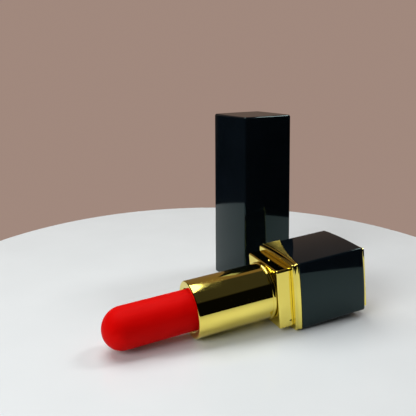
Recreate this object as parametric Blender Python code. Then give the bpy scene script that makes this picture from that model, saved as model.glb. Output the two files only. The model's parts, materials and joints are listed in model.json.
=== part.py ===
"""Open lipstick case with its square cap standing behind it.

The case lies tipped on one side: it rests on the lower front edge of its gold shoulder and on the
rim of its round tube, with the raised bullet just clear of the surface. The square cap stands
behind it on its open end, turned a little.

Case frame: the long axis is X, x = 0 is the front plane of the gold shoulder, the bullet points
towards -X and the end plate towards +X. Cap frame: Z up from the rim.
"""

import math

import bmesh
import bpy
from mathutils import Vector

MM = 0.001

# Driving dimensions of the square case
HALF_WIDTH = 10.5 * MM
FACE_CROWN = 0.4 * MM
CORNER_RADIUS = 0.7 * MM
EDGE_RADIUS = 0.8 * MM
GAP = 0.2 * MM

# Lengths along the case axis
SHOULDER_LENGTH = 2.1 * MM
SHOULDER_EDGE = 0.35 * MM
SHELL_FRONT = SHOULDER_LENGTH + GAP
SHELL_END = 25.2 * MM
SHELL_FLOOR = 1.5 * MM
PLATE_THICKNESS = 0.7 * MM
COLLAR_FRONT = -4.6 * MM
COLLAR_BACK = 6.0 * MM
RIM_X = -29.1 * MM
NOSE_X = -54.5 * MM

# Square sizes, as half widths
COLLAR_HALF = 8.9 * MM
SHELL_BORE_HALF = 8.95 * MM
INNER_HALF = 8.75 * MM
COLLAR_OPENING_HALF = 9.01 * MM
PLATE_HALF = 9.4 * MM
LABEL_HALF = 5.2 * MM

# Round sizes, as radii
TUBE_RADIUS = 8.26 * MM
TUBE_WALL = 0.35 * MM
TUBE_EDGE = 0.45 * MM
LIP_RADIUS = 6.15 * MM
LIP_THICKNESS = 0.5 * MM
SLEEVE_OUTER = 7.75 * MM
SLEEVE_INNER = 7.1 * MM
FORK_OUTER = 6.95 * MM
FORK_INNER = 6.58 * MM
CUP_OUTER = 6.45 * MM
CUP_INNER = 6.03 * MM
BULLET_RADIUS = 5.89 * MM
BORE_RADIUS = 7.9 * MM
SPIGOT_RADIUS = 3.4 * MM

# Swivel: two lugs in straight slots, driven by two helical grooves
LEAD_PER_TURN = 20.0 * MM
BULLET_TRAVEL = 27.0 * MM
CUP_BACK = -17.2 * MM
LUG_X = CUP_BACK - 1.7 * MM
LUG_RADIUS = 0.8 * MM
LUG_TIP = 7.42 * MM
GROOVE_FLOOR = 7.55 * MM
GROOVE_WIDTH = 2.2 * MM
SLOT_HALF_WIDTH = 0.95 * MM
LUG_ANGLES = (math.radians(90.0), math.radians(270.0))

# Stations of the inner pieces
SLEEVE_BACK = 11.8 * MM
FORK_FRONT = RIM_X + LIP_THICKNESS + GAP
FORK_BACK = 14.0 * MM
HOLDER_FRONT = 6.2 * MM
HOLDER_BACK = 15.7 * MM
WEIGHT_FRONT = 16.1 * MM

# Swept back edge of the shoulder on the upper face
SWEEP_LENGTH = 5.8 * MM
SWEEP_POWER = 1.7
INLAY_THICKNESS = 0.6 * MM

# Cap
CAP_HEIGHT = 60.6 * MM
CAP_BORE_HALF = 9.6 * MM
CAP_BORE_TOP = 58.6 * MM
LINER_OUTER = 9.5 * MM
LINER_INNER = 9.1 * MM
CAP_WEIGHT_HALF = 9.2 * MM
LINER_TOP = 50.0 * MM
PIP_X = -2.15 * MM
PIP_RADIUS = 0.45 * MM
PIP_HEIGHT = 0.22 * MM
CAP_PLACE = Vector((8.9 * MM, 36.3 * MM, 0.0))
CAP_YAW = math.radians(8.2)

# Facets
CORNER_STEPS = 4
SIDE_STEPS = 7
ROUND_STEPS = 56
EDGE_STEPS = 3

GOLD = ("gold", (0.86, 0.68, 0.2), 0.12, 1.0)
BLACK = ("black_gloss", (0.008, 0.009, 0.01), 0.08, 0.0)
RED = ("red_wax", (0.72, 0.02, 0.012), 0.45, 0.0)
STEEL = ("steel", (0.55, 0.56, 0.57), 0.35, 1.0)
IVORY = ("ivory_plastic", (0.75, 0.73, 0.66), 0.4, 0.0)
DARK = ("dark_plastic", (0.03, 0.03, 0.032), 0.45, 0.0)
RUBBER = ("silicone", (0.16, 0.16, 0.17), 0.7, 0.0)
LABEL = ("label_film", (0.62, 0.03, 0.02), 0.5, 0.0)


def clear_scene():
    """Empties the scene that the script starts in."""
    for item in list(bpy.data.objects):
        bpy.data.objects.remove(item, do_unlink=True)


def material(name, finish):
    """A material of its own for one piece, from a named finish."""
    made = bpy.data.materials.new(f"{name}_{finish[0]}")
    made.use_nodes = True
    shader = made.node_tree.nodes["Principled BSDF"]
    shader.inputs["Base Color"].default_value = (*finish[1], 1.0)
    shader.inputs["Roughness"].default_value = finish[2]
    shader.inputs["Metallic"].default_value = finish[3]
    made.diffuse_color = (*finish[1], 1.0)
    return made


# ---- outlines, each a list of (u, v) points in anticlockwise order


def square_outline(half, corner=CORNER_RADIUS, crown=0.0):
    """A square with rounded corners whose sides bulge by the crown at their middle."""
    reach = half - crown - corner
    first = []
    for step in range(CORNER_STEPS + 1):
        angle = math.radians(90.0) * step / CORNER_STEPS
        first.append((reach + corner * math.cos(angle), reach + corner * math.sin(angle)))
    for step in range(1, SIDE_STEPS):
        along = 1.0 - 2.0 * step / SIDE_STEPS
        first.append((along * reach, half - crown * along * along))
    points = []
    for quarter in range(4):
        turn = math.radians(90.0) * quarter
        c, s = math.cos(turn), math.sin(turn)
        points += [(c * u - s * v, s * u + c * v) for u, v in first]
    return points


def case_outline(inset=0.0):
    """The case's own crowned square, drawn in by an inset."""
    return square_outline(HALF_WIDTH - inset, max(CORNER_RADIUS - inset, 0.15 * MM), FACE_CROWN)


def round_outline(radius, steps=ROUND_STEPS):
    angles = [2.0 * math.pi * step / steps for step in range(steps)]
    return [(radius * math.cos(a), radius * math.sin(a)) for a in angles]


def bore_outline(radius):
    """A circle whose points lie at the same angles as those of a square outline."""
    angles = [math.atan2(v, u) for u, v in square_outline(INNER_HALF)]
    return [(radius * math.cos(a), radius * math.sin(a)) for a in angles]


# ---- solids


def along_x(station, outline):
    return [(station, u, v) for u, v in outline]


def along_z(station, outline):
    return [(u, v, station) for u, v in outline]


def skin(rings, loop=False):
    """Joins rings of points into one closed body. A loop also joins the last ring to the first."""
    bm = bmesh.new()
    rows = [[bm.verts.new(point) for point in ring] for ring in rings]
    pairs = list(zip(rows, rows[1:]))
    if loop:
        pairs.append((rows[-1], rows[0]))
    else:
        bm.faces.new(rows[0])
        bm.faces.new(rows[-1])
    for one, other in pairs:
        for i in range(len(one)):
            j = (i + 1) % len(one)
            bm.faces.new((one[i], one[j], other[j], other[i]))
    bmesh.ops.recalc_face_normals(bm, faces=bm.faces)
    if bm.calc_volume(signed=True) < 0.0:
        bmesh.ops.reverse_faces(bm, faces=bm.faces)
    return bm


def turned(profile, loop=True, steps=ROUND_STEPS):
    """A body of revolution about the case axis from (x, radius) points."""
    return skin([along_x(x, round_outline(r, steps)) for x, r in profile], loop)


def rod(start, end, radius, steps=24):
    """A round rod between two points."""
    start, end = Vector(start), Vector(end)
    turn = (end - start).to_track_quat("Z", "Y")
    rings = []
    for centre in (start, end):
        rings.append([centre + turn @ Vector((u, v, 0.0)) for u, v in round_outline(radius, steps)])
    return skin(rings)


def block(low, high):
    """A plain box between two corners."""
    corners = ((low[0], low[1]), (high[0], low[1]), (high[0], high[1]), (low[0], high[1]))
    return skin([along_z(low[2], corners), along_z(high[2], corners)])


def rounded_edge(station, radius, side):
    """(station, inset) pairs round an edge, from its end face outwards. Side is -1 for a front edge."""
    found = []
    for step in range(EDGE_STEPS + 1):
        angle = math.radians(90.0) * step / EDGE_STEPS
        found.append((station + side * radius * (math.cos(angle) - 1.0), radius * (1.0 - math.sin(angle))))
    return found


def add(name, bm, finish, parent):
    """Makes the named object of a body, smooth but for its real edges."""
    mesh = bpy.data.meshes.new(name)
    bm.to_mesh(mesh)
    bm.free()
    mesh.shade_smooth()
    mesh.set_sharp_from_angle(angle=math.radians(32.0))
    mesh.materials.append(material(name, finish))
    made = bpy.data.objects.new(name, mesh)
    bpy.context.scene.collection.objects.link(made)
    made.parent = parent
    return made


def helper(name, bm, parent):
    """A guide solid that only cuts, trims or joins others."""
    mesh = bpy.data.meshes.new(name)
    bm.to_mesh(mesh)
    bm.free()
    made = bpy.data.objects.new(name, mesh)
    bpy.context.scene.collection.objects.link(made)
    made.parent = parent
    made.hide_render = True
    made.display_type = "WIRE"
    return made


def combine(target, tool, operation):
    """Adds an exact Boolean with a guide solid to the target."""
    modifier = target.modifiers.new(f"{operation.lower()}_{tool.name}", "BOOLEAN")
    modifier.operation = operation
    modifier.solver = "EXACT"
    modifier.object = tool


def empty(name):
    made = bpy.data.objects.new(name, None)
    bpy.context.scene.collection.objects.link(made)
    return made


# ---- base


def sweep_x(y):
    """Where the shoulder's swept back edge lies on the upper face, at a place across it."""
    share = max(0.0, (y + HALF_WIDTH) / (2.0 * HALF_WIDTH))
    return SHOULDER_LENGTH + SWEEP_LENGTH * share**SWEEP_POWER


def sweep_prism(front, start_y, offset, low_z):
    """An upright prism from the front station back to the swept edge."""
    end_y = HALF_WIDTH + 1.0 * MM
    steps = 14
    across = [start_y + (end_y - start_y) * i / steps for i in range(steps + 1)]
    outline = [(sweep_x(y) + offset, y) for y in across]
    outline += [(front, end_y), (front, start_y)]
    high_z = HALF_WIDTH + 1.0 * MM
    return skin([along_z(low_z, outline), along_z(high_z, outline)])


def make_base_shell(case):
    rings = [
        along_x(SHELL_FRONT, square_outline(SHELL_BORE_HALF)),
        along_x(SHELL_END - SHELL_FLOOR, square_outline(SHELL_BORE_HALF)),
        along_x(SHELL_END - SHELL_FLOOR, bore_outline(SPIGOT_RADIUS + GAP)),
        along_x(SHELL_END, bore_outline(SPIGOT_RADIUS + GAP)),
    ]
    rings += [along_x(x, case_outline(d)) for x, d in rounded_edge(SHELL_END, EDGE_RADIUS, 1)]
    rings += [
        along_x(SHELL_FRONT + GAP, case_outline()),
        along_x(SHELL_FRONT, case_outline(GAP)),
    ]
    shell = add("base_shell", skin(rings, loop=True), BLACK, case)
    seat = sweep_prism(SHELL_FRONT - 1.0 * MM, -HALF_WIDTH, GAP, HALF_WIDTH - INLAY_THICKNESS - GAP)
    combine(shell, helper("inlay_seat", seat, case), "DIFFERENCE")


def make_shoulder(case):
    """Gold frame between collar and shell, with a bead at its back and the swept inlay on top."""
    opening = square_outline(COLLAR_OPENING_HALF)
    bead = 0.08 * MM
    bead_length = 0.4 * MM
    bead_front = SHOULDER_LENGTH - bead_length
    rings = [along_x(SHOULDER_LENGTH, opening), along_x(0.0, opening)]
    rings += [along_x(x, case_outline(d)) for x, d in rounded_edge(0.0, SHOULDER_EDGE, -1)]
    rings += [
        along_x(bead_front, case_outline()),
        along_x(bead_front + bead, case_outline(-bead)),
        along_x(SHOULDER_LENGTH, case_outline(-bead)),
    ]
    shoulder = add("shoulder_trim", skin(rings, loop=True), GOLD, case)
    start_y = -0.7 * HALF_WIDTH
    inlay_body = sweep_prism(bead_front + bead, start_y, -GAP / 2.0, HALF_WIDTH - INLAY_THICKNESS)
    inlay = helper("inlay_body", inlay_body, case)
    envelope_body = skin([along_x(x, case_outline()) for x in (0.0, SHELL_END)])
    combine(inlay, helper("inlay_envelope", envelope_body, case), "INTERSECT")
    combine(shoulder, inlay, "UNION")


def make_collar(case):
    """Square collar that lines the cap up, with a pip on each face that the cap snaps over."""
    edge = 0.45 * MM
    neck_x = 2.0 * MM
    rings = [along_x(COLLAR_BACK, bore_outline(BORE_RADIUS)), along_x(COLLAR_FRONT, bore_outline(BORE_RADIUS))]
    for x, d in rounded_edge(COLLAR_FRONT, edge, -1):
        rings.append(along_x(x, square_outline(COLLAR_HALF - d, CORNER_RADIUS - d)))
    rings += [
        along_x(neck_x, square_outline(COLLAR_HALF)),
        along_x(neck_x, square_outline(INNER_HALF)),
        along_x(COLLAR_BACK, square_outline(INNER_HALF)),
    ]
    collar = add("collar", skin(rings, loop=True), GOLD, case)
    low = COLLAR_HALF - 0.3 * MM
    high = COLLAR_HALF + PIP_HEIGHT
    side_pip_x, side_pip_z = -0.9 * MM, -7.1 * MM
    pips = {
        "pip_top": ((PIP_X, 0.0, low), (PIP_X, 0.0, high)),
        "pip_bottom": ((PIP_X, 0.0, -low), (PIP_X, 0.0, -high)),
        "pip_near": ((side_pip_x, -low, side_pip_z), (side_pip_x, -high, side_pip_z)),
        "pip_far": ((side_pip_x, low, side_pip_z), (side_pip_x, high, side_pip_z)),
    }
    for name, (start, end) in pips.items():
        combine(collar, helper(name, dome(start, end), case), "UNION")


def dome(start, end):
    """A short round pip with a domed top, from a start point to its top."""
    start, end = Vector(start), Vector(end)
    turn = (end - start).to_track_quat("Z", "Y")
    height = (end - start).length
    rings = []
    for along, share in ((0.0, 1.0), (0.5, 1.0), (0.75, 0.85), (0.92, 0.55), (1.0, 0.2)):
        outline = round_outline(PIP_RADIUS * share, 16)
        rings.append([start + turn @ Vector((u, v, along * height)) for u, v in outline])
    return skin(rings)


def make_inner_holder(case):
    """Plastic block inside the shell that holds the fork's foot."""
    floor_x = HOLDER_BACK - 1.5 * MM
    foot_hole = 4.7 * MM
    rings = [
        along_x(HOLDER_FRONT, square_outline(INNER_HALF)),
        along_x(HOLDER_BACK, square_outline(INNER_HALF)),
        along_x(HOLDER_BACK, bore_outline(foot_hole)),
        along_x(floor_x, bore_outline(foot_hole)),
        along_x(floor_x, bore_outline(BORE_RADIUS)),
        along_x(HOLDER_FRONT, bore_outline(BORE_RADIUS)),
    ]
    add("inner_holder", skin(rings, loop=True), DARK, case)


def make_base_weight(case):
    back = SHELL_END - SHELL_FLOOR - GAP
    hole = SPIGOT_RADIUS + GAP
    rings = [
        along_x(WEIGHT_FRONT, square_outline(INNER_HALF)),
        along_x(back, square_outline(INNER_HALF)),
        along_x(back, bore_outline(hole)),
        along_x(WEIGHT_FRONT, bore_outline(hole)),
    ]
    add("base_weight", skin(rings, loop=True), STEEL, case)


def make_end_plate(case):
    """Gold plate on the end of the base, with a spigot that plugs into the weight."""
    front = SHELL_END + GAP
    back = front + PLATE_THICKNESS
    edge = 0.3 * MM
    label_depth = 0.25 * MM
    rings = [
        along_x(WEIGHT_FRONT + 1.0 * MM, bore_outline(SPIGOT_RADIUS)),
        along_x(front, bore_outline(SPIGOT_RADIUS)),
        along_x(front, square_outline(PLATE_HALF)),
    ]
    for x, d in reversed(rounded_edge(back, edge, 1)):
        rings.append(along_x(x, square_outline(PLATE_HALF - d, CORNER_RADIUS - d)))
    rings += [
        along_x(back, square_outline(LABEL_HALF)),
        along_x(back - label_depth, square_outline(LABEL_HALF)),
    ]
    add("end_plate", skin(rings), GOLD, case)
    sunk = 0.05 * MM
    label_outline = square_outline(LABEL_HALF - 0.15 * MM, 0.55 * MM)
    label = [along_x(back - label_depth + sunk, label_outline), along_x(back - sunk, label_outline)]
    add("shade_label", skin(label), LABEL, case)


# ---- swivel


def make_fork(case):
    """Guide tube fixed in the base. The carrier's lugs run in its two straight slots."""
    lip = 7.65 * MM
    lip_thickness = 0.4 * MM
    flange = SLEEVE_OUTER
    flange_front = FORK_BACK - 1.0 * MM
    foot = 4.5 * MM
    inner_floor = 11.0 * MM
    profile = [
        (inner_floor, FORK_INNER),
        (FORK_FRONT, FORK_INNER),
        (FORK_FRONT, lip),
        (FORK_FRONT + lip_thickness, lip),
        (FORK_FRONT + lip_thickness, FORK_OUTER),
        (flange_front, FORK_OUTER),
        (flange_front, flange),
        (FORK_BACK, flange),
        (FORK_BACK, foot),
        (FORK_BACK + 1.8 * MM, foot),
    ]
    fork = add("guide_fork", turned(profile, loop=False), IVORY, case)
    slack = LUG_RADIUS + 0.4 * MM
    reach = FORK_OUTER + 2.0 * MM
    low = (LUG_X - slack, -SLOT_HALF_WIDTH, -reach)
    high = (LUG_X + BULLET_TRAVEL + slack, SLOT_HALF_WIDTH, reach)
    combine(fork, helper("fork_slots", block(low, high), case), "DIFFERENCE")


def helix_bar(start_angle):
    """A bar of the groove's section along the path that a lug takes round the turning sleeve."""
    per_radian = LEAD_PER_TURN / (2.0 * math.pi)
    margin = math.radians(10.0)
    full = BULLET_TRAVEL / per_radian
    steps = 56
    rings = []
    for step in range(steps + 1):
        turn = -margin + (full + 2.0 * margin) * step / steps
        angle = start_angle - turn
        x = LUG_X + per_radian * turn
        c, s = math.cos(angle), math.sin(angle)
        corners = (
            (x - GROOVE_WIDTH / 2.0, SLEEVE_INNER - 0.4 * MM),
            (x + GROOVE_WIDTH / 2.0, SLEEVE_INNER - 0.4 * MM),
            (x + GROOVE_WIDTH / 2.0, GROOVE_FLOOR),
            (x - GROOVE_WIDTH / 2.0, GROOVE_FLOOR),
        )
        rings.append([(u, r * c, r * s) for u, r in corners])
    return skin(rings)


def make_sleeve(case):
    """Sleeve fixed in the gold tube, with two helical grooves inside that lift the carrier."""
    front = FORK_FRONT + 0.6 * MM
    profile = [
        (front, SLEEVE_OUTER),
        (SLEEVE_BACK, SLEEVE_OUTER),
        (SLEEVE_BACK, SLEEVE_INNER),
        (front, SLEEVE_INNER),
    ]
    sleeve = add("spiral_sleeve", turned(profile), IVORY, case)
    for number, angle in enumerate(LUG_ANGLES):
        combine(sleeve, helper(f"groove_{number}", helix_bar(angle), case), "DIFFERENCE")


def make_brake_ring(case):
    """Silicone ring between sleeve and fork flange that gives the turn its drag."""
    front = SLEEVE_BACK + GAP
    back = FORK_BACK - 1.0 * MM - GAP
    profile = [
        (front, SLEEVE_OUTER),
        (back, SLEEVE_OUTER),
        (back, SLEEVE_INNER),
        (front, SLEEVE_INNER),
    ]
    add("brake_ring", turned(profile), RUBBER, case)


def make_tube_cover(case):
    """Gold tube that is held to turn the bullet up, with an inturned lip and a root bead."""
    bore = TUBE_RADIUS - TUBE_WALL
    back = COLLAR_FRONT - GAP
    lip_back = RIM_X + LIP_THICKNESS
    profile = [(back, bore), (lip_back, bore), (lip_back, LIP_RADIUS), (RIM_X, LIP_RADIUS)]
    profile += [(x, TUBE_RADIUS - d) for x, d in rounded_edge(RIM_X, TUBE_EDGE, -1)]
    bead_reach = 0.5 * MM
    bead_height = 0.32 * MM
    steps = 8
    for step in range(steps + 1):
        angle = math.pi * step / steps
        station = back - bead_reach * (1.0 + math.cos(angle))
        profile.append((station, TUBE_RADIUS + bead_height * math.sin(angle)))
    add("tube_cover", turned(profile), GOLD, case)


def make_carrier_cup(case):
    """Cup that holds the bullet's root, with two lugs that reach through the fork's slots."""
    floor = 1.0 * MM
    front = RIM_X + LIP_THICKNESS + GAP
    profile = [
        (CUP_BACK - floor, CUP_INNER),
        (front, CUP_INNER),
        (front, CUP_OUTER),
        (CUP_BACK, CUP_OUTER),
    ]
    cup = add("carrier_cup", turned(profile, loop=False), GOLD, case)
    root = CUP_INNER + 0.15 * MM
    for number, side in enumerate((1.0, -1.0)):
        lug = rod((LUG_X, 0.0, side * root), (LUG_X, 0.0, side * LUG_TIP), LUG_RADIUS)
        combine(cup, helper(f"lug_{number}", lug, case), "UNION")


def make_bullet(case):
    """Straight round stick with a full dome for a nose."""
    centre = NOSE_X + BULLET_RADIUS
    profile = [(CUP_BACK - 1.3 * MM, BULLET_RADIUS)]
    steps = 14
    for step in range(steps):
        angle = math.radians(90.0) * step / steps
        profile.append((centre - BULLET_RADIUS * math.sin(angle), BULLET_RADIUS * math.cos(angle)))
    add("bullet", turned(profile, loop=False), RED, case)


# ---- cap


def make_cap_shell(cap):
    rim = 0.25 * MM
    rings = [
        along_z(CAP_BORE_TOP, square_outline(CAP_BORE_HALF)),
        along_z(0.0, square_outline(CAP_BORE_HALF)),
        along_z(0.0, case_outline(rim)),
        along_z(rim, case_outline()),
    ]
    rings += [along_z(z, case_outline(d)) for z, d in reversed(rounded_edge(CAP_HEIGHT, EDGE_RADIUS, 1))]
    add("cap_shell", skin(rings), BLACK, cap)


def make_cap_liner(cap):
    """Thin square sleeve inside the cap, with a window over each pip of the collar."""
    low = 0.5 * MM
    rings = [
        along_z(low, square_outline(LINER_OUTER)),
        along_z(LINER_TOP, square_outline(LINER_OUTER)),
        along_z(LINER_TOP, square_outline(LINER_INNER)),
        along_z(low, square_outline(LINER_INNER)),
    ]
    liner = add("cap_liner", skin(rings, loop=True), DARK, cap)
    window = PIP_RADIUS + 0.3 * MM
    reach = HALF_WIDTH + 1.0 * MM
    height = -PIP_X
    across = rod((-reach, 0.0, height), (reach, 0.0, height), window)
    along = rod((0.0, -reach, height), (0.0, reach, height), window)
    combine(liner, helper("windows_across", across, cap), "DIFFERENCE")
    combine(liner, helper("windows_along", along, cap), "DIFFERENCE")


def make_cap_weight(cap):
    edge = 0.4 * MM
    half = CAP_WEIGHT_HALF
    low = LINER_TOP + 0.5 * MM
    high = CAP_BORE_TOP - GAP
    rings = [
        along_z(low, square_outline(half - edge)),
        along_z(low + edge, square_outline(half)),
        along_z(high - edge, square_outline(half)),
        along_z(high, square_outline(half - edge)),
    ]
    add("cap_weight", skin(rings), STEEL, cap)


# ---- placing


def resting_tilt():
    """The angle by which the case tips until the shoulder's edge and the tube's rim both touch down."""
    back = RIM_X + TUBE_EDGE - SHOULDER_EDGE
    rise = (HALF_WIDTH - SHOULDER_EDGE) - (TUBE_RADIUS - TUBE_EDGE)
    return math.acos((TUBE_EDGE - SHOULDER_EDGE) / math.hypot(back, rise)) - math.atan(-back / rise)


def place_case(case):
    """Sets the case down on its shoulder's lower front edge, tipped onto its tube."""
    tilt = resting_tilt()
    case.rotation_euler = (0.0, -tilt, 0.0)
    edge_x, edge_z = SHOULDER_EDGE, SHOULDER_EDGE - HALF_WIDTH
    lifted = edge_x * math.sin(tilt) + edge_z * math.cos(tilt)
    along = edge_x * math.cos(tilt) - edge_z * math.sin(tilt)
    case.location = (-along, 0.0, SHOULDER_EDGE - lifted)


def place_cap(cap):
    cap.location = CAP_PLACE
    cap.rotation_euler = (0.0, 0.0, CAP_YAW)


def centre_on_origin(roots):
    """Moves everything sideways until the middle of its footprint is at the origin."""
    bpy.context.view_layer.update()
    corners = []
    for item in bpy.data.objects:
        if item.type == "MESH" and not item.hide_render:
            corners += [item.matrix_world @ vertex.co for vertex in item.data.vertices]
    middle_x = (min(c.x for c in corners) + max(c.x for c in corners)) / 2.0
    middle_y = (min(c.y for c in corners) + max(c.y for c in corners)) / 2.0
    for root in roots:
        root.location.x -= middle_x
        root.location.y -= middle_y
    bpy.context.view_layer.update()


def main():
    clear_scene()
    case = empty("case_axis")
    cap = empty("cap_axis")
    for make in (
        make_base_shell,
        make_shoulder,
        make_collar,
        make_inner_holder,
        make_base_weight,
        make_end_plate,
        make_fork,
        make_sleeve,
        make_brake_ring,
        make_tube_cover,
        make_carrier_cup,
        make_bullet,
    ):
        make(case)
    for make in (make_cap_shell, make_cap_liner, make_cap_weight):
        make(cap)
    place_case(case)
    place_cap(cap)
    centre_on_origin((case, cap))


main()
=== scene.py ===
"""Looks of the open lipstick case: fine surfaces, materials, floor, light and camera.

Case frame: X along the case, x = 0 at the front of the gold shoulder, the bullet towards -X.
Cap frame: Z up from the middle of the cap's rim.
"""

import json
import math

import bmesh
import bpy
import numpy as np
from mathutils import Matrix, Vector


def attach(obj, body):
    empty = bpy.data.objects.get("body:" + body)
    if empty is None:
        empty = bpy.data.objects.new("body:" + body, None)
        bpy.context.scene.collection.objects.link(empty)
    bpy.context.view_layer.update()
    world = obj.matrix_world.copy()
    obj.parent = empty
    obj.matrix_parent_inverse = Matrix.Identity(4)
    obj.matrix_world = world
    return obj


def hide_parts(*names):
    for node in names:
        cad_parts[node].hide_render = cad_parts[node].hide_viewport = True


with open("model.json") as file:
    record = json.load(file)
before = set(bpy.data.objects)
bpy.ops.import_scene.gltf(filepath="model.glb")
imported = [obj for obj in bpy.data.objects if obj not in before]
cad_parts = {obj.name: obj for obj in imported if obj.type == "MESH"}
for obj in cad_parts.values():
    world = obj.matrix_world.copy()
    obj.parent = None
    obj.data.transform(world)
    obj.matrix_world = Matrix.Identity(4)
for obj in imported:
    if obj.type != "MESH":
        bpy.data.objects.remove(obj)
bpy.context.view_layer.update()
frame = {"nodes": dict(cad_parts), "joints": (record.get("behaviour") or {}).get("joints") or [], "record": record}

MM = 0.001
MICRON = 0.000001
QUARTER = math.radians(90.0)

# Case and cap, as in the CAD model
CORNER_RADIUS = 0.7 * MM
SIDE_RADIUS = 110.5 * MM
FLAT_RADIUS = 20.0  # metres, so wide that a side is as good as straight
EDGE_RADIUS = 0.8 * MM
LEAST_CORNER = 0.12 * MM  # what stays of a corner's radius under a deep inset
GAP = 0.2 * MM
SHELL_BORE_HALF = 8.95 * MM
SHELL_FLOOR = 1.5 * MM
CAP_BORE_HALF = 9.6 * MM
CAP_BORE_TOP = 58.6 * MM
CAP_RIM_EDGE = 0.25 * MM

# Shoulder
SHOULDER_LENGTH = 2.1 * MM
SHOULDER_EDGE = 0.35 * MM
GROOVE_DEPTH = 0.2 * MM
BEAD_HEIGHT = 0.08 * MM
BEAD_LENGTH = 0.5 * MM
SWEEP_LENGTH = 5.8 * MM
SWEEP_POWER = 1.7
INLAY_THICKNESS = 0.6 * MM
INLAY_START = -0.7  # of the case's half width
INLAY_END = SHOULDER_LENGTH + 9.0 * MM
INLAY_STEPS = 48
SCOOP_STEPS = 24
SCOOP_DEPTH = 0.5 * MM
SCOOP_RUN = 3.0 * MM  # width of the inlay from which the scoop has its full depth
SCOOP_FADE = 8  # a high power, so that the scoop dies out only close to the case's edges
SCOOP_LEAN = 1.4  # over 1 moves the deepest line back
SCOOP_EASE = 1.5  # over 1 softens the scoop's own two edges

# Collar and its pips
COLLAR_HALF = 8.9 * MM
COLLAR_OPENING_HALF = COLLAR_HALF + 0.11 * MM
COLLAR_EDGE = 0.45 * MM
COLLAR_NECK = SHOULDER_LENGTH - 0.1 * MM
INNER_HALF = 8.75 * MM
BORE_RADIUS = 7.9 * MM
PIP_RADIUS = 0.45 * MM
PIP_ROOT = COLLAR_HALF - 0.3 * MM
TOP_PIP_X = -2.15 * MM  # on the upper and the lower face
SIDE_PIP_X = -0.9 * MM
SIDE_PIP_Z = -7.1 * MM

# End plate and label
SPIGOT_RADIUS = 3.4 * MM
PLATE_THICKNESS = 0.7 * MM
PLATE_EDGE = 0.15 * MM
RECESS_DEPTH = 0.25 * MM
RECESS_EDGE = 0.12 * MM
LABEL_HALF = 5.2 * MM
LABEL_CORNER = 0.55 * MM
LABEL_EDGE = 0.04 * MM

# Tube and cup
TUBE_RADIUS = 8.26 * MM
TUBE_WALL = 0.35 * MM
TUBE_EDGE = 0.45 * MM
TUBE_BEAD_HALF = 0.5 * MM
LIP_RADIUS = 6.15 * MM
LIP_THICKNESS = 0.5 * MM
LIP_EDGE = 0.18 * MM
CUP_OUTER = 6.45 * MM
CUP_INNER = 6.03 * MM
CUP_EDGE = 0.12 * MM
CUP_FLOOR = 1.0 * MM
LUG_SETBACK = 1.7 * MM
LUG_ROOT = CUP_INNER + 0.15 * MM
LUG_TIP = 7.42 * MM
LUG_RADIUS = 0.8 * MM

# Facets
CORNER_STEPS = 12
SIDE_STEPS = 16
EDGE_STEPS = 8
BEAD_STEPS = 16
DOME_STEPS = 40
SMALL_ROUND_STEPS = 40
ROUND_STEPS = 160
FLOOR_STEPS = 256
SHARP_ANGLE = math.radians(35.0)

# Camera
CAMERA_PLACE = (-66.60 * MM, -157.23 * MM, 77.22 * MM)
CAMERA_YAW = math.radians(22.61)
CAMERA_PITCH = math.radians(5.96)
CAMERA_ROLL = math.radians(-0.38)
CAMERA_LENS = 46.29
CAMERA_SHIFT = -0.20

# Room
FLOOR_RADIUS = 110.0 * MM
FLOOR_PLACE = (4.7 * MM, 12.9 * MM, 0.0)
FLOOR_DEPTH = 3.0 * MM
FLOOR_EDGE = 1.5 * MM
WALL_TURN = math.radians(24.0)
TOWARDS_WALL = (math.sin(WALL_TURN), math.cos(WALL_TURN), 0.15)
BACKDROP = (0.355, 0.248, 0.205)
WALL = (0.19, 0.13, 0.10)
FRONT = (0.002, 0.002, 0.002)
CEILING = (0.036, 0.034, 0.036)

# The colour sockets of a Mix node, which share their names with its other sockets
MIX_LOW, MIX_HIGH, MIX_RESULT = 6, 7, 2


# ---- frames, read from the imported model


def case_frame():
    """The case's own frame: the tube's turning axis is its X."""
    joint = next(j for j in frame["joints"] if j["name"] == "tube_turn")
    along = Vector(joint["axis"]).normalized()
    across = Vector((0.0, 1.0, 0.0))
    up = along.cross(across)
    matrix = Matrix((along, across, up)).transposed().to_4x4()
    matrix.translation = Vector(joint["pos_m"])
    return matrix


def cap_frame():
    """The cap's own frame, from the flat faces at its top and its rim."""
    places = {m["name"]: Vector(m["pos_m"]) for m in frame["record"]["mounts"]}
    top = places["cap_top"]
    side = places["cap_rim"] - top
    turn = Matrix.Rotation(math.atan2(side.y, side.x), 4, "Z")
    return Matrix.Translation((top.x, top.y, 0.0)) @ turn


def span(node, own_frame):
    """Lowest and highest corner of a CAD node in its own frame."""
    back = own_frame.inverted()
    points = np.array([back @ v.co for v in frame["nodes"][node].data.vertices])
    return Vector(points.min(0)), Vector(points.max(0))


CASE = case_frame()
CAP = cap_frame()


# ---- outlines, each a list of (u, v) points in anticlockwise order


def arc(centre, reach, start, end, steps):
    """Points round a stretch of an ellipse, its ends included. Reach holds the two half axes."""
    angles = [start + (end - start) * step / steps for step in range(steps + 1)]
    return [(centre[0] + reach[0] * math.cos(a), centre[1] + reach[1] * math.sin(a)) for a in angles]


def square_outline(half, corner=CORNER_RADIUS, side=FLAT_RADIUS):
    """A rounded square of tangent arcs: wide ones for its sides, small ones for its corners."""
    offset = side - half
    place = (math.sqrt(2.0 * (side - corner) ** 2 - offset**2) - offset) / 2.0
    limit = math.atan2(place, place + offset)
    first = arc((-offset, 0.0), (side, side), -limit, limit, SIDE_STEPS)[:-1]
    first += arc((place, place), (corner, corner), limit, QUARTER - limit, CORNER_STEPS)[:-1]
    points = []
    for quarter in range(4):
        c, s = math.cos(QUARTER * quarter), math.sin(QUARTER * quarter)
        points += [(c * u - s * v, s * u + c * v) for u, v in first]
    return points


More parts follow.
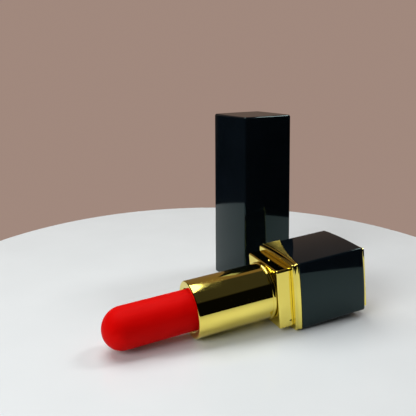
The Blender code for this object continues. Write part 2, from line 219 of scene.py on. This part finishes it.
def case_outline(half, inset=0.0):
    """The crowned square of case and cap, drawn in by an inset."""
    return square_outline(half - inset, max(CORNER_RADIUS - inset, LEAST_CORNER), SIDE_RADIUS - inset)


def round_outline(radius, steps=ROUND_STEPS):
    return arc((0.0, 0.0), (radius, radius), 0.0, 2.0 * math.pi, steps)[:-1]


def bore_outline(radius):
    """A circle whose points lie at the same angles as those of a square outline."""
    angles = [math.atan2(v, u) for u, v in square_outline(INNER_HALF)]
    return [(radius * math.cos(a), radius * math.sin(a)) for a in angles]


def rounded_edge(station, radius, side):
    """(station, inset) pairs round an edge, from its end face outwards. Side is -1 for a front edge."""
    return arc((station - side * radius, radius), (side * radius, -radius), 0.0, QUARTER, EDGE_STEPS)


# ---- solids


def along_x(station, outline):
    return [(station, u, v) for u, v in outline]


def along_z(station, outline):
    return [(u, v, station) for u, v in outline]


def skin(rings, loop=False):
    """Joins rings of points into one closed body. A loop also joins the last ring to the first."""
    bm = bmesh.new()
    rows = [[bm.verts.new(point) for point in ring] for ring in rings]
    pairs = list(zip(rows, rows[1:]))
    if loop:
        pairs.append((rows[-1], rows[0]))
    else:
        bm.faces.new(rows[0])
        bm.faces.new(rows[-1])
    for one, other in pairs:
        for i in range(len(one)):
            j = (i + 1) % len(one)
            bm.faces.new((one[i], one[j], other[j], other[i]))
    bmesh.ops.recalc_face_normals(bm, faces=bm.faces)
    if bm.calc_volume(signed=True) < 0.0:
        bmesh.ops.reverse_faces(bm, faces=bm.faces)
    return bm


def turned(profile, loop=True):
    """A body of revolution about the case axis from (x, radius) points."""
    return skin([along_x(x, round_outline(r)) for x, r in profile], loop)


def spun(start, end, shares):
    """A small round body along a line, from (share of its length, radius) pairs."""
    start, end = Vector(start), Vector(end)
    turn = (end - start).to_track_quat("Z", "Y")
    height = (end - start).length
    rings = []
    for share, radius in shares:
        outline = round_outline(radius, SMALL_ROUND_STEPS)
        rings.append([start + turn @ Vector((u, v, share * height)) for u, v in outline])
    return skin(rings)


def new_object(name, bm, own_frame):
    """An object of the scene from a bmesh, which is used up."""
    mesh = bpy.data.meshes.new(name)
    bm.to_mesh(mesh)
    bm.free()
    made = bpy.data.objects.new(name, mesh)
    bpy.context.scene.collection.objects.link(made)
    made.matrix_world = own_frame
    return made


def combine(target, tool, operation):
    """Cuts, trims or joins the target with a tool, which is used up."""
    modifier = target.modifiers.new(operation.lower(), "BOOLEAN")
    modifier.operation = operation
    modifier.solver = "EXACT"
    modifier.object = tool
    graph = bpy.context.evaluated_depsgraph_get()
    result = bpy.data.meshes.new_from_object(target.evaluated_get(graph))
    target.modifiers.clear()
    target.data = result
    bpy.data.objects.remove(tool, do_unlink=True)


def coated(made, material, keep_sharp=True):
    """Gives an object one material, and smooth faces up to its sharp edges, or over them."""
    mesh = made.data
    mesh.materials.clear()
    mesh.materials.append(material)
    mesh.shade_smooth()
    mesh.set_sharp_from_angle(angle=SHARP_ANGLE)
    made.modifiers.new("face_weighted_normals", "WEIGHTED_NORMAL").keep_sharp = keep_sharp


def finished(piece, material, body, node):
    """Coats a piece and names its body and the CAD node that it stands for."""
    coated(piece, material)
    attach(piece, body)
    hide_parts(node)


# ---- materials


class Coat:
    """A procedural material under construction, on one Principled BSDF."""

    # The stretches of a noise's values that tones and roughness are spread over
    TONES = (0.35, 0.65)
    SHINE = (0.3, 0.7)

    def __init__(self, name, roughness, metallic=0.0, ior=1.5):
        self.material = bpy.data.materials.new(name)
        self.material.use_nodes = True
        self.nodes = self.material.node_tree.nodes
        self.links = self.material.node_tree.links
        self.shader = self.nodes["Principled BSDF"]
        self.shader.inputs["Roughness"].default_value = roughness
        self.shader.inputs["Metallic"].default_value = metallic
        self.shader.inputs["IOR"].default_value = ior
        place = self.nodes.new("ShaderNodeTexCoord")
        self.stretch = self.nodes.new("ShaderNodeMapping")
        self.links.new(place.outputs["Object"], self.stretch.inputs["Vector"])
        self.height = None

    def noise(self, scale, detail=3.0, distortion=0.0):
        """A noise of about scale features a metre."""
        found = self.nodes.new("ShaderNodeTexNoise")
        found.inputs["Scale"].default_value = scale
        found.inputs["Detail"].default_value = detail
        found.inputs["Distortion"].default_value = distortion
        self.links.new(self.stretch.outputs["Vector"], found.inputs["Vector"])
        return found.outputs["Fac"]

    def colour(self, source, low, high):
        """Base colour between two tones."""
        ramp = self.nodes.new("ShaderNodeValToRGB")
        for element, place, tone in zip(ramp.color_ramp.elements, self.TONES, (low, high)):
            element.position = place
            element.color = (*tone, 1.0)
        self.links.new(source, ramp.inputs["Fac"])
        self.links.new(ramp.outputs["Color"], self.shader.inputs["Base Color"])

    def spread(self, source, start, end, low, high):
        """A source's values from start to end, mapped to values from low to high."""
        found = self.nodes.new("ShaderNodeMapRange")
        found.inputs["From Min"].default_value = start
        found.inputs["From Max"].default_value = end
        found.inputs["To Min"].default_value = low
        found.inputs["To Max"].default_value = high
        self.links.new(source, found.inputs["Value"])
        return found.outputs["Result"]

    def roughness(self, source, low, high):
        """Roughness between two values. Returns its socket."""
        found = self.spread(source, *self.SHINE, low, high)
        self.links.new(found, self.shader.inputs["Roughness"])
        return found

    def bump(self, source, depth):
        """Relief of a real depth in metres, on top of any relief made before."""
        relief = self.nodes.new("ShaderNodeBump")
        relief.inputs["Strength"].default_value = 1.0
        relief.inputs["Distance"].default_value = depth
        self.links.new(source, relief.inputs["Height"])
        if self.height:
            self.links.new(self.height, relief.inputs["Normal"])
        self.height = relief.outputs["Normal"]
        self.links.new(self.height, self.shader.inputs["Normal"])


def gold(name, stretch=(1.0, 1.0, 1.0), swept=False):
    """Metallised gold: a clear shine, a slight waviness and faint handling marks."""
    coat = Coat(name, 0.1, metallic=1.0)
    coat.stretch.inputs["Scale"].default_value = stretch
    coat.colour(coat.noise(90.0), (0.90, 0.73, 0.15), (0.96, 0.80, 0.18))
    shine = coat.roughness(coat.noise(420.0, 5.0, 0.6), 0.03, 0.09)
    coat.bump(coat.noise(180.0, 1.0), 1.2 * MICRON)
    coat.bump(coat.noise(2600.0, 2.0), 0.4 * MICRON)
    if swept:
        add_satin(coat, shine)
    return coat.material


def add_satin(coat, shine):
    """Satin on the swept part behind the shoulder's bead, duller towards its tip."""
    split = coat.nodes.new("ShaderNodeSeparateXYZ")
    coat.links.new(coat.stretch.outputs["Vector"], split.inputs["Vector"])
    along = split.outputs["X"]
    satin = coat.spread(along, SHOULDER_LENGTH, SHOULDER_LENGTH + SWEEP_LENGTH, 0.19, 0.5)
    behind = coat.nodes.new("ShaderNodeMath")
    behind.operation = "GREATER_THAN"
    behind.inputs[1].default_value = SHOULDER_LENGTH + GAP / 2.0
    coat.links.new(along, behind.inputs[0])
    total = coat.nodes.new("ShaderNodeMath")
    total.operation = "MULTIPLY_ADD"
    for i, source in enumerate((satin, behind.outputs["Value"], shine)):
        coat.links.new(source, total.inputs[i])
    coat.links.new(total.outputs["Value"], coat.shader.inputs["Roughness"])


def black_gloss(name):
    """Black moulded plastic with a deep polish and faint smudges."""
    coat = Coat(name, 0.05, ior=1.42)
    coat.shader.inputs["Specular Tint"].default_value = (0.64, 1.0, 0.96, 1.0)
    coat.colour(coat.noise(60.0), (0.0024, 0.0042, 0.0062), (0.0036, 0.0058, 0.0086))
    coat.roughness(coat.noise(75.0, 6.0, 0.8), 0.025, 0.075)
    coat.bump(coat.noise(110.0, 1.0), 1.5 * MICRON)
    return coat.material


def red_wax(name):
    """Moulded lipstick wax: satin, with fine grain and faint lengthways draw marks."""
    coat = Coat(name, 0.6, ior=1.14)
    coat.stretch.inputs["Scale"].default_value = (0.25, 1.0, 1.0)
    coat.colour(coat.noise(240.0, 4.0), (0.62, 0.0010, 0.0006), (0.70, 0.0022, 0.0012))
    coat.roughness(coat.noise(700.0, 5.0), 0.54, 0.66)
    coat.bump(coat.noise(900.0, 4.0), 12.0 * MICRON)
    coat.bump(coat.noise(3800.0, 2.0), 3.0 * MICRON)
    coat.shader.inputs["Subsurface Weight"].default_value = 0.12
    coat.shader.inputs["Subsurface Radius"].default_value = (1.0, 0.12, 0.08)
    coat.shader.inputs["Subsurface Scale"].default_value = 1.2 * MM
    return coat.material


def moulded(name, low, high, rough, grain):
    """Plain moulded plastic or rubber with a fine grain."""
    coat = Coat(name, rough)
    coat.colour(coat.noise(150.0, 4.0), low, high)
    coat.roughness(coat.noise(500.0, 4.0), rough - 0.06, rough + 0.06)
    coat.bump(coat.noise(3000.0, 3.0), grain)
    return coat.material


def steel(name):
    """Cut steel with fine lines across the case."""
    coat = Coat(name, 0.35, metallic=1.0)
    coat.stretch.inputs["Scale"].default_value = (0.08, 1.0, 1.0)
    coat.colour(coat.noise(900.0, 4.0), (0.46, 0.47, 0.48), (0.60, 0.61, 0.62))
    coat.roughness(coat.noise(2500.0, 4.0), 0.28, 0.42)
    coat.bump(coat.noise(4000.0, 2.0), 4.0 * MICRON)
    return coat.material


def label_film(name):
    """Printed film in the shade's colour, with a fine sparkle and no lettering."""
    coat = Coat(name, 0.3, ior=1.47)
    coat.colour(coat.noise(9000.0, 1.0), (0.54, 0.011, 0.009), (0.60, 0.016, 0.012))
    coat.roughness(coat.noise(600.0, 3.0), 0.22, 0.34)
    coat.bump(coat.noise(1500.0, 2.0), 1.0 * MICRON)
    return coat.material


def table_lacquer(name):
    """Pale lacquer between gloss and satin."""
    coat = Coat(name, 0.2, ior=1.42)
    coat.colour(coat.noise(30.0), (0.76, 0.80, 0.81), (0.78, 0.82, 0.83))
    coat.roughness(coat.noise(60.0, 4.0), 0.17, 0.23)
    return coat.material


# ---- base pieces


def sweep_x(half, y):
    """Where the shoulder's swept back edge lies on the upper face, at a place across it."""
    share = max(0.0, (y + half) / (2.0 * half))
    return SHOULDER_LENGTH + SWEEP_LENGTH * share**SWEEP_POWER


def seat_prism(half, front):
    """The room for the inlay in the shell: an upright prism back to the swept edge."""
    over = 1.0 * MM
    end_y = half + over
    across = [-half + (end_y + half) * i / INLAY_STEPS for i in range(INLAY_STEPS + 1)]
    outline = [(sweep_x(half, y) + GAP / 2.0, y) for y in across]
    outline += [(front - over, end_y), (front - over, -half)]
    low_z = half - INLAY_THICKNESS - GAP
    return skin([along_z(low_z, outline), along_z(half + over, outline)])


def scooped_inlay(half, front):
    """The swept part of the shoulder on the upper face, hollowed a little between its two edges."""
    start_y = INLAY_START * half
    low_z = half - INLAY_THICKNESS
    rings = []
    for i in range(INLAY_STEPS + 1):
        y = start_y + (half - start_y) * i / INLAY_STEPS
        back = sweep_x(half, y) - GAP / 2.0
        crown = half - y * y / (2.0 * SIDE_RADIUS)
        depth = SCOOP_DEPTH * min(1.0, (back - front) / SCOOP_RUN) * (1.0 - (y / half) ** SCOOP_FADE)
        ring = [(back, y, low_z), (front, y, low_z)]
        for j in range(SCOOP_STEPS + 1):
            share = j / SCOOP_STEPS
            dip = depth * math.sin(math.pi * share**SCOOP_LEAN) ** SCOOP_EASE
            ring.append((front + (back - front) * share, y, crown - dip))
        rings.append(ring)
    return skin(rings)


def make_shell():
    """Black shell: a deep bore with a floor, and a seat for the shoulder's inlay."""
    low, high = span("base_shell", CASE)
    front, back, half = low.x, high.x, high.y
    rings = [
        along_x(front, square_outline(SHELL_BORE_HALF)),
        along_x(back - SHELL_FLOOR, square_outline(SHELL_BORE_HALF)),
        along_x(back - SHELL_FLOOR, bore_outline(SPIGOT_RADIUS + GAP)),
        along_x(back, bore_outline(SPIGOT_RADIUS + GAP)),
    ]
    rings += [along_x(x, case_outline(half, d)) for x, d in rounded_edge(back, EDGE_RADIUS, 1)]
    rings += [along_x(x, case_outline(half, d)) for x, d in reversed(rounded_edge(front, GAP, -1))]
    shell = new_object("shell_surface", skin(rings, loop=True), CASE)
    combine(shell, new_object("inlay_seat", seat_prism(half, front), CASE), "DIFFERENCE")
    finished(shell, black_gloss("shell_gloss"), "base", "base_shell")


def make_shoulder():
    """Gold frame with a shallow groove, a bead behind it, and the swept inlay."""
    half = span("base_shell", CASE)[1].y
    opening = square_outline(COLLAR_OPENING_HALF)
    bead_front = SHOULDER_LENGTH - BEAD_LENGTH
    bead_reach = BEAD_LENGTH / 2.0
    sides = rounded_edge(0.0, SHOULDER_EDGE, -1)
    for step in range(1, SIDE_STEPS):
        share = step / SIDE_STEPS
        station = SHOULDER_EDGE + (bead_front - SHOULDER_EDGE) * share
        sides.append((station, GROOVE_DEPTH * math.sin(math.pi * share)))
    sides += arc((bead_front + bead_reach, 0.0), (-bead_reach, -BEAD_HEIGHT), 0.0, math.pi, EDGE_STEPS)
    rings = [along_x(SHOULDER_LENGTH, opening), along_x(0.0, opening)]
    rings += [along_x(x, case_outline(half, d)) for x, d in sides]
    shoulder = new_object("shoulder_frame", skin(rings, loop=True), CASE)
    inlay = new_object("inlay_body", scooped_inlay(half, bead_front + BEAD_HEIGHT), CASE)
    envelope = skin([along_x(x, case_outline(half)) for x in (0.0, INLAY_END)])
    combine(inlay, new_object("inlay_envelope", envelope, CASE), "INTERSECT")
    combine(shoulder, inlay, "UNION")
    finished(shoulder, gold("shoulder_gold", swept=True), "base", "shoulder_trim")


def make_collar():
    """Gold collar with a domed pip on each of its four faces."""
    low, high = span("collar", CASE)
    front, back, tip = low.x, high.x, high.z
    rings = [along_x(back, bore_outline(BORE_RADIUS)), along_x(front, bore_outline(BORE_RADIUS))]
    for x, d in rounded_edge(front, COLLAR_EDGE, -1):
        rings.append(along_x(x, square_outline(COLLAR_HALF - d, CORNER_RADIUS - d)))
    rings += [
        along_x(COLLAR_NECK, square_outline(COLLAR_HALF)),
        along_x(COLLAR_NECK, square_outline(INNER_HALF)),
        along_x(back, square_outline(INNER_HALF)),
    ]
    collar = new_object("collar_sleeve", skin(rings, loop=True), CASE)
    pips = []
    for side in (1, -1):
        pips.append(((TOP_PIP_X, 0.0, side * PIP_ROOT), (TOP_PIP_X, 0.0, side * tip)))
    for side in (-1, 1):
        pips.append(((SIDE_PIP_X, side * PIP_ROOT, SIDE_PIP_Z), (SIDE_PIP_X, side * tip, SIDE_PIP_Z)))
    # A buried root, then a dome that flares into the collar's face
    profile = [(0.0, 1.25), (0.48, 1.25), (0.54, 1.1), (0.62, 0.98), (0.72, 0.88), (0.82, 0.74)]
    profile += [(0.9, 0.58), (0.96, 0.38), (1.0, 0.12)]
    for start, end in pips:
        dome = spun(start, end, [(share, PIP_RADIUS * r) for share, r in profile])
        combine(collar, new_object("pip", dome, CASE), "UNION")
    finished(collar, gold("collar_gold"), "base", "collar")


def make_plate():
    """Gold end plate with its spigot in front and the label's recess behind."""
    low, high = span("end_plate", CASE)
    half, back = high.y, high.x
    front = back - PLATE_THICKNESS
    rings = [along_x(x, bore_outline(SPIGOT_RADIUS)) for x in (low.x, front)]
    sides = rounded_edge(front, PLATE_EDGE, -1) + rounded_edge(back, PLATE_EDGE, 1)[::-1]
    rings += [along_x(x, square_outline(half - d, CORNER_RADIUS - d)) for x, d in sides]
    rings += [along_x(x, square_outline(LABEL_HALF + d)) for x, d in rounded_edge(back, RECESS_EDGE, 1)]
    rings.append(along_x(back - RECESS_DEPTH, square_outline(LABEL_HALF)))
    plate = new_object("end_plate_surface", skin(rings), CASE)
    finished(plate, gold("plate_gold"), "base", "end_plate")


def make_label():
    """Blank colour label, sunk in the end plate."""
    low, high = span("shade_label", CASE)
    rings = [along_x(low.x, square_outline(high.y, LABEL_CORNER))]
    for x, d in reversed(rounded_edge(high.x, LABEL_EDGE, 1)):
        rings.append(along_x(x, square_outline(high.y - d, LABEL_CORNER - d)))
    label = new_object("label_surface", skin(rings), CASE)
    finished(label, label_film("label_red_film"), "base", "shade_label")


# ---- tube, cup and bullet


def make_tube():
    """Gold tube: an inturned lip at the rim, a bead round the root."""
    low, high = span("tube_cover", CASE)
    rim, back = low.x, high.x
    bore = TUBE_RADIUS - TUBE_WALL
    lip_back = rim + LIP_THICKNESS
    lip_reach = LIP_THICKNESS / 2.0
    lip_radius = LIP_RADIUS + LIP_EDGE
    bead_height = high.y - TUBE_RADIUS
    bead_middle = (back - TUBE_BEAD_HALF, TUBE_RADIUS)
    profile = [(back, bore), (lip_back, bore)]
    profile += arc((rim + lip_reach, lip_radius), (lip_reach, -LIP_EDGE), 0.0, math.pi, EDGE_STEPS)
    profile += [(x, TUBE_RADIUS - d) for x, d in rounded_edge(rim, TUBE_EDGE, -1)]
    profile += arc(bead_middle, (-TUBE_BEAD_HALF, bead_height), 0.0, math.pi, BEAD_STEPS)
    tube = new_object("tube_surface", turned(profile), CASE)
    finished(tube, gold("tube_gold", stretch=(0.5, 1.0, 1.0)), "tube", "tube_cover")


def make_cup():
    """Gold cup round the bullet's root, with a lug for each of the fork's slots."""
    low, high = span("carrier_cup", CASE)
    front, back = low.x, high.x
    middle = (front + CUP_EDGE, (CUP_INNER + CUP_OUTER) / 2.0)
    reach = (-CUP_EDGE, (CUP_OUTER - CUP_INNER) / 2.0)
    profile = [(back - CUP_FLOOR, CUP_INNER)]
    profile += arc(middle, reach, -QUARTER, QUARTER, EDGE_STEPS)
    profile.append((back, CUP_OUTER))
    cup = new_object("cup_surface", turned(profile, loop=False), CASE)
    lug_x = back - LUG_SETBACK
    for side in (1.0, -1.0):
        shares = [(0.0, LUG_RADIUS), (0.9, LUG_RADIUS), (1.0, 0.85 * LUG_RADIUS)]
        lug = spun((lug_x, 0.0, side * LUG_ROOT), (lug_x, 0.0, side * LUG_TIP), shares)
        combine(cup, new_object("lug", lug, CASE), "UNION")
    finished(cup, gold("cup_gold_coat"), "carrier", "carrier_cup")


def make_bullet():
    """Straight round stick with a full dome, its root a little sunk into the cup."""
    low, high = span("bullet", CASE)
    radius = high.y
    centre = (low.x + radius, 0.0)
    profile = [(high.x, radius)]
    profile += arc(centre, (radius, radius), QUARTER, math.pi, DOME_STEPS)[:-1]
    bullet = new_object("bullet_surface", turned(profile, loop=False), CASE)
    finished(bullet, red_wax("bullet_wax"), "carrier", "bullet")


# ---- cap


def make_cap():
    """Black cap, open below and plain on top."""
    high = span("cap_shell", CAP)[1]
    half, height = high.y, high.z
    rings = [along_z(z, square_outline(CAP_BORE_HALF)) for z in (CAP_BORE_TOP, 0.0)]
    sides = rounded_edge(0.0, CAP_RIM_EDGE, -1) + rounded_edge(height, EDGE_RADIUS, 1)[::-1]
    rings += [along_z(z, case_outline(half, d)) for z, d in sides]
    cap = new_object("cap_surface", skin(rings), CAP)
    finished(cap, black_gloss("cap_gloss"), "cap", "cap_shell")


# ---- inner pieces, whose CAD shapes stay


def coat_inner_pieces():
    ivory = moulded("ivory_plastic", (0.66, 0.63, 0.54), (0.76, 0.73, 0.64), 0.42, 3.0 * MICRON)
    dark = moulded("dark_plastic", (0.018, 0.018, 0.020), (0.032, 0.032, 0.035), 0.45, 4.0 * MICRON)
    silicone = moulded("grey_silicone", (0.13, 0.13, 0.14), (0.18, 0.18, 0.19), 0.66, 6.0 * MICRON)
    bare_steel = steel("bare_steel")
    coats = {
        "guide_fork": ivory,
        "spiral_sleeve": ivory,
        "inner_holder": dark,
        "cap_liner": dark,
        "brake_ring": silicone,
        "base_weight": bare_steel,
        "cap_weight": bare_steel,
    }
    for node, coat in coats.items():
        frame["nodes"][node].material_slots[0].material = coat


# ---- floor, light and camera


def make_floor():
    """A round, pale table top."""
    flat = FLOOR_RADIUS - FLOOR_EDGE
    sides = [(flat, -FLOOR_DEPTH)]
    sides += arc((flat, -FLOOR_EDGE), (FLOOR_EDGE, FLOOR_EDGE), 0.0, QUARTER, EDGE_STEPS)
    rings = [along_z(z, round_outline(radius, FLOOR_STEPS)) for radius, z in sides]
    floor = new_object("floor", skin(rings), Matrix.Translation(FLOOR_PLACE))
    coated(floor, table_lacquer("floor_white"), keep_sharp=False)


def make_light(name, place, size, power):
    """A rectangular soft light that faces the origin."""
    lamp = bpy.data.lights.new(name, "AREA")
    lamp.shape = "RECTANGLE"
    lamp.size, lamp.size_y = size
    lamp.energy = power
    made = bpy.data.objects.new(name, lamp)
    bpy.context.scene.collection.objects.link(made)
    outward = Vector(place).normalized()
    right = Vector((0.0, 1.0, 0.0)).cross(outward).normalized()
    turn = Matrix((right, outward.cross(right), outward)).transposed()
    made.matrix_world = Matrix.Translation(place) @ turn.to_4x4()
    return made


def make_lights():
    """A lamp above, a small one to the right, and a fill to the left that makes no reflections."""
    make_light("key_light", place=(-0.085, 0.145, 0.52), size=(0.43, 0.43), power=2.25)
    make_light("right_light", place=(0.39, 0.02, 0.50), size=(0.14, 0.10), power=0.8)
    fill = make_light("left_light", place=(-0.46, -0.22, 0.30), size=(0.40, 0.30), power=2.0)
    fill.visible_glossy = False


def make_world():
    """A dim room with a pale wall behind the object. The camera sees an even backdrop instead."""
    world = bpy.data.worlds.new("room")
    bpy.context.scene.world = world
    world.use_nodes = True
    nodes, links = world.node_tree.nodes, world.node_tree.links
    place = nodes.new("ShaderNodeTexCoord")
    split = nodes.new("ShaderNodeSeparateXYZ")
    links.new(place.outputs["Generated"], split.inputs["Vector"])

    def ramp(source, start, end):
        found = nodes.new("ShaderNodeMapRange")
        found.interpolation_type = "SMOOTHSTEP"
        found.inputs["From Min"].default_value = start
        found.inputs["From Max"].default_value = end
        links.new(source, found.inputs["Value"])
        return found.outputs["Result"]

    def mix(share, low, high):
        found = nodes.new("ShaderNodeMix")
        found.data_type = "RGBA"
        links.new(share, found.inputs["Factor"])
        for index, value in ((MIX_LOW, low), (MIX_HIGH, high)):
            if isinstance(value, tuple):
                found.inputs[index].default_value = (*value, 1.0)
            else:
                links.new(value, found.inputs[index])
        return found.outputs[MIX_RESULT]

    facing = nodes.new("ShaderNodeVectorMath")
    facing.operation = "DOT_PRODUCT"
    facing.inputs[1].default_value = TOWARDS_WALL
    links.new(place.outputs["Generated"], facing.inputs[0])
    above = mix(ramp(split.outputs["Z"], start=0.62, end=0.70), FRONT, CEILING)
    room = mix(ramp(facing.outputs["Value"], start=0.52, end=0.60), above, WALL)
    path = nodes.new("ShaderNodeLightPath")
    seen = mix(path.outputs["Is Camera Ray"], room, BACKDROP)
    links.new(seen, nodes["Background"].inputs["Color"])


def make_camera():
    data = bpy.data.cameras.new("camera")
    data.lens = CAMERA_LENS
    data.sensor_width = 36.0
    data.shift_y = CAMERA_SHIFT
    data.clip_start = 0.01
    data.clip_end = 10.0
    made = bpy.data.objects.new("camera", data)
    bpy.context.scene.collection.objects.link(made)
    level = math.cos(CAMERA_PITCH)
    ahead = Vector((math.sin(CAMERA_YAW) * level, math.cos(CAMERA_YAW) * level, -math.sin(CAMERA_PITCH)))
    right = ahead.cross(Vector((0.0, 0.0, 1.0))).normalized()
    up = right.cross(ahead)
    turn = Matrix((right, up, -ahead)).transposed() @ Matrix.Rotation(CAMERA_ROLL, 3, "Z")
    made.matrix_world = Matrix.Translation(CAMERA_PLACE) @ turn.to_4x4()
    bpy.context.scene.camera = made


bpy.context.scene.view_settings.view_transform = "Standard"
make_camera()
make_floor()
make_world()
make_lights()
make_shell()
make_shoulder()
make_collar()
make_plate()
make_label()
make_tube()
make_cup()
make_bullet()
make_cap()
coat_inner_pieces()
